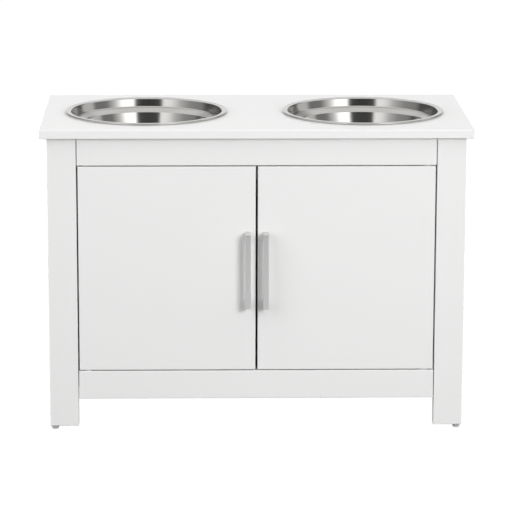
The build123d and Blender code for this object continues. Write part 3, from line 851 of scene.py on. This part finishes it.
class FEEDER_OT_battens(bpy.types.Operator):
    """Give the battens and dowels their timber"""

    bl_idname = "feeder.battens"
    bl_label = "Battens and dowels"

    def execute(self, context):
        finishes = context.scene.feeder_finishes
        pine_deep = bare_timber("pine_front_to_back", tuple(finishes.batten), 1)
        pine_wide = bare_timber("pine_side_to_side", tuple(finishes.batten), 0)
        for hand in HANDS:
            dress(f"{hand}_top_cleat", pine_deep)
            dress(f"{hand}_bottom_cleat", pine_deep)
        dress("front_cleat", pine_wide)
        for node, axis in (("side_dowels", 0), ("stile_dowels", 1)):
            beech = bare_timber(f"beech_{node}", tuple(finishes.dowel), axis)
            dowels = Shape()
            for low, high in loose_parts(node):
                dowels.add(*self.fluted(low, high, axis))
            dowels.piece(f"{node}_fluted", beech, "dowel_wood", node)
        return {"FINISHED"}

    @staticmethod
    def fluted(low, high, axis, flutes=12):
        """A fluted dowel with chamfered ends, in a solid's box. Returns points and faces."""
        length = high[axis] - low[axis]
        across = (axis + 1) % 3
        radius = (high[across] - low[across]) / 2
        rings = [[(0.0, 0.0, -length)]]
        for height, share in (
            (-length, 0.78), (-length + radius * 0.3, 1.0), (-radius * 0.3, 1.0), (0.0, 0.78),
        ):
            ring = []
            for step in range(flutes * 4):
                angle = math.tau * step / (flutes * 4)
                reach = radius * share * (0.94 if step % 4 == 0 else 1.0)
                ring.append((reach * math.cos(angle), reach * math.sin(angle), height))
            rings.append(ring)
        rings.append([(0.0, 0.0, 0.0)])
        dowel = Shape()
        dowel.skin(rings, place=lying_place(low, high, axis, 1))
        return dowel.points, dowel.faces


class FEEDER_OT_screws(bpy.types.Operator):
    """Make the wood screws, machine screws and nails"""

    bl_idname = "feeder.screws"
    bl_label = "Screws and nails"

    # node: the axis that its fasteners lie along, and which end holds the head
    wood_screws = {
        "top_screws": (2, -1),
        "bottom_screws": (2, -1),
        "top_rail_screws": (1, 1),
        "bottom_rail_screws": (1, 1),
        "left_strike_screw": (1, 1),
        "right_strike_screw": (1, 1),
    }
    pan_screws = {
        "catch_screws": (2, -1, 1.6 * MM),
        "left_handle_screws": (1, 1, 2.4 * MM),
        "right_handle_screws": (1, 1, 2.4 * MM),
    }
    nails = {
        "back_nails": (1, 1, 0.8 * MM, 0.9 * MM),
        "glide_nails": (2, -1, 1.2 * MM, 1.1 * MM),
    }
    # a shank's radius as a share of its head's
    shank = 0.5
    strike_shank = 1.25 / 2.2

    def execute(self, context):
        hardware = context.scene.feeder_hardware
        zinc = zinc_plate(context.scene.feeder_finishes)
        for node, (axis, side) in self.wood_screws.items():
            boxes = loose_parts(node)
            share = self.strike_shank if "strike" in node else self.shank
            screw = self.wood_screw(boxes[0], axis, share, hardware)
            places = [lying_place(low, high, axis, side) for low, high in boxes]
            screw.copy_to(places).piece(f"{node}_threaded", zinc, "fastener_steel", node)

        boxes = loose_parts("side_screws")
        screw = self.wood_screw(boxes[0], 0, self.shank, hardware)
        places = [lying_place(low, high, 0, 1 if low.x < 0 else -1) for low, high in boxes]
        screw.copy_to(places).piece("side_screws_threaded", zinc, "fastener_steel", "side_screws")

        for node, (axis, side, head) in self.pan_screws.items():
            boxes = loose_parts(node)
            length, radius = round_size(*boxes[0], axis)
            screw = pan_head_screw(length - head, radius * self.shank, radius, head, hardware)
            places = self.under_heads(boxes, axis, side, head)
            screw.copy_to(places).piece(f"{node}_threaded", zinc, "fastener_steel", node)

        for node, (axis, side, head, wire) in self.nails.items():
            boxes = loose_parts(node)
            length, radius = round_size(*boxes[0], axis)
            nail = wire_nail(length - head, wire, radius, head, hardware.sides)
            places = self.under_heads(boxes, axis, side, head)
            nail.copy_to(places).piece(f"{node}_wire", zinc, "fastener_steel", node)
        return {"FINISHED"}

    @staticmethod
    def wood_screw(box, axis, share, hardware):
        """A countersunk screw of a box's length and width."""
        length, radius = round_size(*box, axis)
        return countersunk_screw(length, radius * share, radius, hardware)

    @staticmethod
    def under_heads(boxes, axis, side, head):
        """Places for fasteners whose heads stand on a surface."""
        lift = Matrix.Translation((0.0, 0.0, -head))
        return [lying_place(low, high, axis, side) @ lift for low, high in boxes]


class FEEDER_OT_glides(bpy.types.Operator):
    """Turn the tapered glides under the legs"""

    bl_idname = "feeder.glides"
    bl_label = "Leg glides"

    nail_hole = 1.15 * MM
    recess_mouth = 2.9 * MM
    recess_radius = 2.66 * MM
    recess_depth = 3.65 * MM
    foot_share = 0.742

    def execute(self, context):
        color = tuple(context.scene.feeder_finishes.nylon)
        nylon = moulded_plastic("glide_nylon", color, 0.5, 1800.0)
        glides = Shape()
        for low, high in loose_parts("leg_glides"):
            radius = (high.x - low.x) / 2
            height = high.z - low.z
            foot = radius * self.foot_share
            profile = [
                (self.nail_hole, height),
                (radius - 0.3 * MM, height),
                (radius, height - 0.3 * MM),
                (radius - 0.15 * MM, height - 0.9 * MM),
                (foot + 0.1 * MM, 0.6 * MM),
                (foot - 0.1 * MM, 0.2 * MM),
                (foot - 0.5 * MM, 0.0),
                (self.recess_mouth, 0.0),
                (self.recess_radius, 0.25 * MM),
                (self.recess_radius, self.recess_depth),
                (self.nail_hole, self.recess_depth),
            ]
            middle = (low + high) / 2
            place = Matrix.Translation((middle.x, middle.y, low.z))
            glides.lathe(profile[::-1], 64, closed=True, place=place)
        glides.piece("leg_glides_turned", nylon, "nylon", "leg_glides")
        return {"FINISHED"}


class FEEDER_OT_pivots(bpy.types.Operator):
    """Turn the pivot pins and the flanged bushes"""

    bl_idname = "feeder.pivots"
    bl_label = "Pivots"

    flange = 1.2 * MM
    flange_overhang = 1.0 * MM
    bore = 2.58 * MM
    blind_end = 1.0 * MM
    ease = 0.25 * MM
    barrel_ease = 0.4 * MM
    pin_ease = 0.5 * MM

    def execute(self, context):
        finishes = context.scene.feeder_finishes
        color = finishes.nylon
        nylon = moulded_plastic("bush_nylon", tinted(color, 1.12), 0.45, 2200.0)
        bushes = Shape()
        for low, high in loose_parts("pivot_bushes"):
            radius = (high.x - low.x) / 2
            barrel = radius - self.flange_overhang
            length = high.z - low.z
            profile = [
                (0.0, -length + self.blind_end),
                (self.bore, -length + self.blind_end),
                (self.bore, -self.ease),
                (self.bore + self.ease, 0.0),
                (radius - self.ease, 0.0),
                (radius, -self.ease),
                (radius, -self.flange),
                (barrel, -self.flange),
                (barrel, -length + self.barrel_ease),
                (barrel - self.barrel_ease, -length),
                (0.0, -length),
            ]
            upper = low.z > CAD_BOUNDS[1].z / 2
            place = lying_place(low, high, 2, -1 if upper else 1)
            bushes.lathe(profile[::-1], 48, place=place)
        bushes.piece("pivot_bushes_turned", nylon, "nylon", "pivot_bushes")

        zinc = zinc_plate(finishes)
        for hand in HANDS:
            pins = Shape()
            for low, high in loose_parts(f"{hand}_pivot_pins"):
                radius = (high.x - low.x) / 2
                length = high.z - low.z
                profile = [
                    (0.0, -length),
                    (radius - self.pin_ease, -length),
                    (radius, -length + self.pin_ease),
                    (radius, -self.pin_ease),
                    (radius - self.pin_ease, 0.0),
                    (0.0, 0.0),
                ]
                pins.lathe(profile, 40, place=lying_place(low, high, 2, 1))
            node = f"{hand}_pivot_pins"
            pins.piece(f"{node}_turned", zinc, "fastener_steel", node)
        return {"FINISHED"}


class FEEDER_OT_handles(bpy.types.Operator):
    """Shape the bridge handles"""

    bl_idname = "feeder.handles"
    bl_label = "Handles"

    def execute(self, context):
        sizes = context.scene.feeder_handles
        nickel = satin_nickel(context.scene.feeder_finishes)
        for hand in HANDS:
            node = f"{hand}_handle"
            low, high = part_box(node)
            handle = Shape()
            handle.skin(self.ribs(low, high, sizes))
            handle.piece(f"{node}_bar", nickel, "handle_metal", node)
        return {"FINISHED"}

    @staticmethod
    def ribs(low, high, sizes):
        """Sections across the bridge, from one foot over the bar to the other."""
        outer = rounded(
            [(high.y, low.z), (low.y, low.z), (low.y, high.z), (high.y, high.z)],
            [sizes.outer_radius] * 2, steps=10,
        )
        back = low.y + sizes.bar
        inner = rounded(
            [
                (high.y, low.z + sizes.leg),
                (back, low.z + sizes.leg),
                (back, high.z - sizes.leg),
                (high.y, high.z - sizes.leg),
            ],
            [sizes.inner_radius] * 2, steps=10,
        )
        half = (high.x - low.x) / 2
        middle = (high.x + low.x) / 2
        rings = []
        for front, rear in zip(outer, inner):
            depth = (front - rear).length
            section = rounded(
                [(0.0, depth), (-half, depth), (-half, 0.0), (half, 0.0), (half, depth), (0.0, depth)],
                [sizes.front_round, sizes.back_round, sizes.back_round, sizes.front_round],
                steps=8,
            )[:-1]
            ahead = (front - rear).normalized()
            rings.append(
                [(middle + p.x, *(rear + ahead * p.y)) for p in section]
            )
        first = [(middle, *((outer[0] + inner[0]) / 2))]
        last = [(middle, *((outer[-1] + inner[-1]) / 2))]
        return [first] + rings + [last]


class FEEDER_OT_catch(bpy.types.Operator):
    """Finish the magnetic catch, the strike plates and the door bumpers"""

    bl_idname = "feeder.catch"
    bl_label = "Catch"

    def execute(self, context):
        finishes = context.scene.feeder_finishes
        dress("catch_body", moulded_plastic("catch_plastic", (0.78, 0.78, 0.76, 1.0), 0.4, 1500.0))
        dress("catch_magnets", ferrite())
        zinc = zinc_plate(finishes)
        for name in ("catch_poles", "left_strike_plate", "right_strike_plate"):
            dress(name, zinc)
        soft = moulded_plastic("soft_rubber", tuple(finishes.rubber), 0.3, 900.0)
        for hand in HANDS:
            node = f"{hand}_door_bumpers"
            bumpers = Shape()
            for low, high in loose_parts(node):
                height, radius = round_size(low, high, 1)
                profile = [(0.0, -height), (radius * 0.97, -height), (radius, -height * 0.85)]
                profile += [
                    (radius * math.cos(a), -height * 0.85 * (1 - math.sin(a)))
                    for a in (math.pi / 2 * step / 10 for step in range(1, 10))
                ]
                profile.append((0.0, 0.0))
                bumpers.lathe(profile, 40, place=lying_place(low, high, 1, 1))
            bumpers.piece(f"{node}_domed", soft, "soft_rubber", node)
        return {"FINISHED"}


class FEEDER_OT_bowls(bpy.types.Operator):
    """Spin the stepped steel bowls"""

    bl_idname = "feeder.bowls"
    bl_label = "Bowls"

    def execute(self, context):
        sizes = context.scene.feeder_bowls
        for hand in HANDS:
            node = f"{hand}_bowl"
            low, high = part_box(node)
            middle = Vector(((low.x + high.x) / 2, (low.y + high.y) / 2, high.z))
            steel = spun_steel(f"{hand}_bowl_steel", context.scene.feeder_finishes, middle)
            bowl = Shape()
            profile = self.profile((high.x - low.x) / 2, high.z - low.z, sizes)
            bowl.lathe(profile, sizes.sides, place=Matrix.Translation(middle))
            bowl.piece(f"{node}_spun", steel, "bowl_steel", node)
        return {"FINISHED"}

    @staticmethod
    def profile(rim_radius, height, sizes):
        """The sheet's outline from the axis under the base, out over the rim and back inside."""
        flange = -sizes.flange_drop
        base = -height + sizes.sheet
        collar = sizes.mouth_radius - sizes.collar_taper
        shoulder = flange - sizes.collar_depth
        waist = collar - sizes.shoulder_width
        bead = rim_radius - sizes.bead_radius
        inner = rounded(
            [
                (0.0, base),
                (sizes.base_radius, base),
                (waist, shoulder - sizes.shoulder_drop),
                (collar, shoulder),
                (sizes.mouth_radius, flange),
                (bead, flange),
            ],
            [sizes.base_round] + [sizes.step_round] * 3, steps=10,
        )
        outer = offset_line(inner, sizes.sheet)
        outer[0] = Vector((0.0, -height))
        roll = arc((bead, -sizes.bead_radius), sizes.bead_radius, -155, 65, 22)
        return outer[:-1] + roll + inner[::-1][1:]


class FEEDER_OT_studio(bpy.types.Operator):
    """Set up the floor, the soft lights and the camera"""

    bl_idname = "feeder.studio"
    bl_label = "Studio"

    # azimuth from straight in front, elevation, distance, width, height
    key_box = (20.0, 18.0, 2.4, 0.68, 0.68)
    fill_box = (-42.0, 25.0, 2.4, 1.46, 1.80)
    back_boxes = (
        (98.0, 12.0, 3.0, 1.6, 1.6),
        (180.0, 12.0, 3.0, 1.6, 1.6),
        (-98.0, 12.0, 3.0, 1.6, 1.6),
    )
    # what polished metal shows: the turn in degrees, right of straight ahead, and the brightness
    walls = (
        (-180, 0.85), (-165, 0.80), (-152, 0.10), (-106, 0.08), (-97, 0.25), (-72, 0.32),
        (-55, 0.55), (-40, 1.00), (-26, 1.15), (-23, 0.05), (18, 0.05), (21, 1.70), (40, 1.60),
        (50, 0.75), (66, 0.22), (88, 0.20), (95, 0.60), (116, 0.60), (123, 0.10), (152, 0.10),
        (165, 0.80), (180, 0.85),
    )
    brightest_wall = 2.0
    ceiling_edge = (40.0, 55.0)  # the elevations where the walls' soft light turns into the ceiling's
    roof_edge = (26.0, 44.0)  # the same for what polished metal shows
    front_edge = (-0.3, 0.1)  # how far forward the ceiling's soft light reaches
    floor_reach = 60.0

    def execute(self, context):
        studio = context.scene.feeder_studio
        self.camera(context.scene, studio)
        self.floor(studio)
        self.world(context.scene, studio)
        low, high = CAD_BOUNDS
        middle = (low + high) / 2
        self.softbox("key_light", middle, self.key_box, studio.key_power)
        self.softbox("fill_light", middle, self.fill_box, studio.fill_power)
        for index, box in enumerate(self.back_boxes):
            self.softbox(f"back_light_{index}", middle, box, studio.back_power)
        context.scene.view_settings.view_transform = "Standard"
        return {"FINISHED"}

    @staticmethod
    def camera(scene, studio):
        """Stand the camera where the photograph was taken from."""
        yaw, pitch, roll = studio.camera_yaw, studio.camera_pitch, studio.camera_roll
        ahead = Vector(
            (math.sin(yaw) * math.cos(pitch), math.cos(yaw) * math.cos(pitch), -math.sin(pitch))
        )
        level = Vector((math.cos(yaw), -math.sin(yaw), 0.0))
        rise = level.cross(ahead)
        right = level * math.cos(roll) + rise * math.sin(roll)
        up = rise * math.cos(roll) - level * math.sin(roll)
        data = bpy.data.cameras.new("camera")
        data.lens = studio.focal_length
        camera = bpy.data.objects.new("camera", data)
        turn = Matrix((right, up, -ahead)).transposed().to_4x4()
        camera.matrix_world = Matrix.Translation(studio.camera_place) @ turn
        scene.collection.objects.link(camera)
        scene.camera = camera

    def floor(self, studio):
        """A wide pale floor that glows a little, so that shadows on it stay faint."""
        reach = self.floor_reach
        mesh = bpy.data.meshes.new("floor")
        corners = [(-reach, -reach, 0), (reach, -reach, 0), (reach, reach, 0), (-reach, reach, 0)]
        mesh.from_pydata(corners, [], [(0, 1, 2, 3)])
        floor = bpy.data.objects.new("floor", mesh)
        bpy.context.scene.collection.objects.link(floor)
        tree = new_material("pale_floor")
        path = tree.node("LightPath")
        seen, glossy = path["Is Camera Ray"], path["Is Glossy Ray"]
        unseen = studio.floor_glow + glossy * (studio.floor_shine - studio.floor_glow)
        glow = seen + (1 - seen) * unseen
        color = tree.mix(seen, (0.0, 0.0, 0.0, 1.0), (0.04, 0.04, 0.04, 1.0))
        material = tree.surface(
            base_color=color,
            roughness=0.9,
            specular_ior_level=0.0,
            emission_color=tree.mix(glow, (0.0, 0.0, 0.0, 1.0), (1.0, 1.0, 1.0, 1.0)),
            emission_strength=1.0,
        )
        mesh.materials.append(material)

    def world(self, scene, studio):
        """A white backdrop, and the studio that the feeder reflects."""
        world = bpy.data.worlds.new("studio")
        scene.world = world
        tree = Tree(world)
        direction = tree.node("TexCoord")["Generated"]
        parts = tree.node("SeparateXYZ", {}, {"Vector": direction})
        ahead = 0 - parts["Y"]
        turn = tree.node("Math", {"operation": "ARCTAN2"}, {0: parts["X"], 1: ahead})["Value"]
        rise = tree.node("Math", {"operation": "ARCSINE"}, {0: parts["Z"]})["Value"]
        overhead = self.ramp(tree, rise, *self.ceiling_edge)
        overhead = overhead * self.ramp(tree, ahead, *self.front_edge, 1.0)
        soft = studio.room + overhead * (studio.ceiling - studio.room)
        stops = []
        for degrees, brightness in self.walls:
            stops.append(((degrees + 180) / 360, (brightness / self.brightest_wall,) * 3 + (1.0,)))
        around = turn / math.tau + 0.5
        walls = tree.node("ValToRGB", {"stops": stops}, {"Fac": around})["Color"]
        walls = tree.node("SeparateColor", {}, {"Color": walls})["Red"] * self.brightest_wall
        roof = self.ramp(tree, rise, *self.roof_edge)
        sharp = walls * (1 - roof) + roof * studio.roof
        path = tree.node("LightPath")
        seen, glossy = path["Is Camera Ray"], path["Is Glossy Ray"]
        light = soft * (1 - glossy) + sharp * glossy
        strength = seen + light * (1 - seen)
        shade = tree.node("Background", {}, {"Color": (1.0, 1.0, 1.0, 1.0), "Strength": strength})
        tree.node("OutputWorld", {}, {"Surface": shade["Background"]})

    @staticmethod
    def ramp(tree, value, start, end, unit=math.pi / 180):
        """Rise smoothly from 0 at the start to 1 at the end."""
        settings = {"interpolation_type": "SMOOTHSTEP"}
        inputs = {"Value": value, "From Min": start * unit, "From Max": end * unit}
        return tree.node("MapRange", settings, inputs)["Result"]

    @staticmethod
    def softbox(name, middle, box, power):
        """A rectangular soft light aimed at the middle of the feeder. Metal shows walls instead."""
        azimuth, elevation, distance, width, height = box
        a, e = math.radians(azimuth), math.radians(elevation)
        towards = Vector((math.sin(a) * math.cos(e), -math.cos(a) * math.cos(e), math.sin(e)))
        data = bpy.data.lights.new(name, "AREA")
        data.shape = "RECTANGLE"
        data.size = width
        data.size_y = height
        data.energy = power
        light = bpy.data.objects.new(name, data)
        light.location = middle + towards * distance
        light.rotation_mode = "QUATERNION"
        light.rotation_quaternion = towards.to_track_quat("Z", "Y")
        light.visible_camera = False
        light.visible_glossy = False
        bpy.context.scene.collection.objects.link(light)


class FEEDER_PT_panel(bpy.types.Panel):
    """Lists the feeder's pieces"""

    bl_idname = "FEEDER_PT_panel"
    bl_label = "Raised pet feeder"
    bl_space_type = "VIEW_3D"
    bl_region_type = "UI"
    bl_category = "Feeder"

    def draw(self, context):
        for operator in OPERATORS:
            self.layout.operator(operator.bl_idname)
        for name in GROUPS:
            box = self.layout.box()
            box.label(text=name.replace("feeder_", "").title())
            group = getattr(context.scene, name)
            for field in group.__annotations__:
                box.prop(group, field)


GROUPS = {
    "feeder_finishes": FeederFinishes,
    "feeder_bowls": FeederBowls,
    "feeder_handles": FeederHandles,
    "feeder_hardware": FeederHardware,
    "feeder_studio": FeederStudio,
}
OPERATORS = (
    FEEDER_OT_boards,
    FEEDER_OT_battens,
    FEEDER_OT_screws,
    FEEDER_OT_glides,
    FEEDER_OT_pivots,
    FEEDER_OT_handles,
    FEEDER_OT_catch,
    FEEDER_OT_bowls,
    FEEDER_OT_studio,
)
CLASSES = (*GROUPS.values(), *OPERATORS, FEEDER_PT_panel)


def register():
    """Register the classes and hang the sizes on the scene."""
    for each in CLASSES:
        bpy.utils.register_class(each)
    for name, group in GROUPS.items():
        setattr(bpy.types.Scene, name, PointerProperty(type=group))


def unregister():
    """Take the sizes and the classes away again."""
    for name in GROUPS:
        delattr(bpy.types.Scene, name)
    for each in reversed(CLASSES):
        bpy.utils.unregister_class(each)


def main():
    """Build every piece in order."""
    register()
    for operator in OPERATORS:
        group, name = operator.bl_idname.split(".")
        getattr(getattr(bpy.ops, group), name)()


if __name__ == "__main__":
    main()
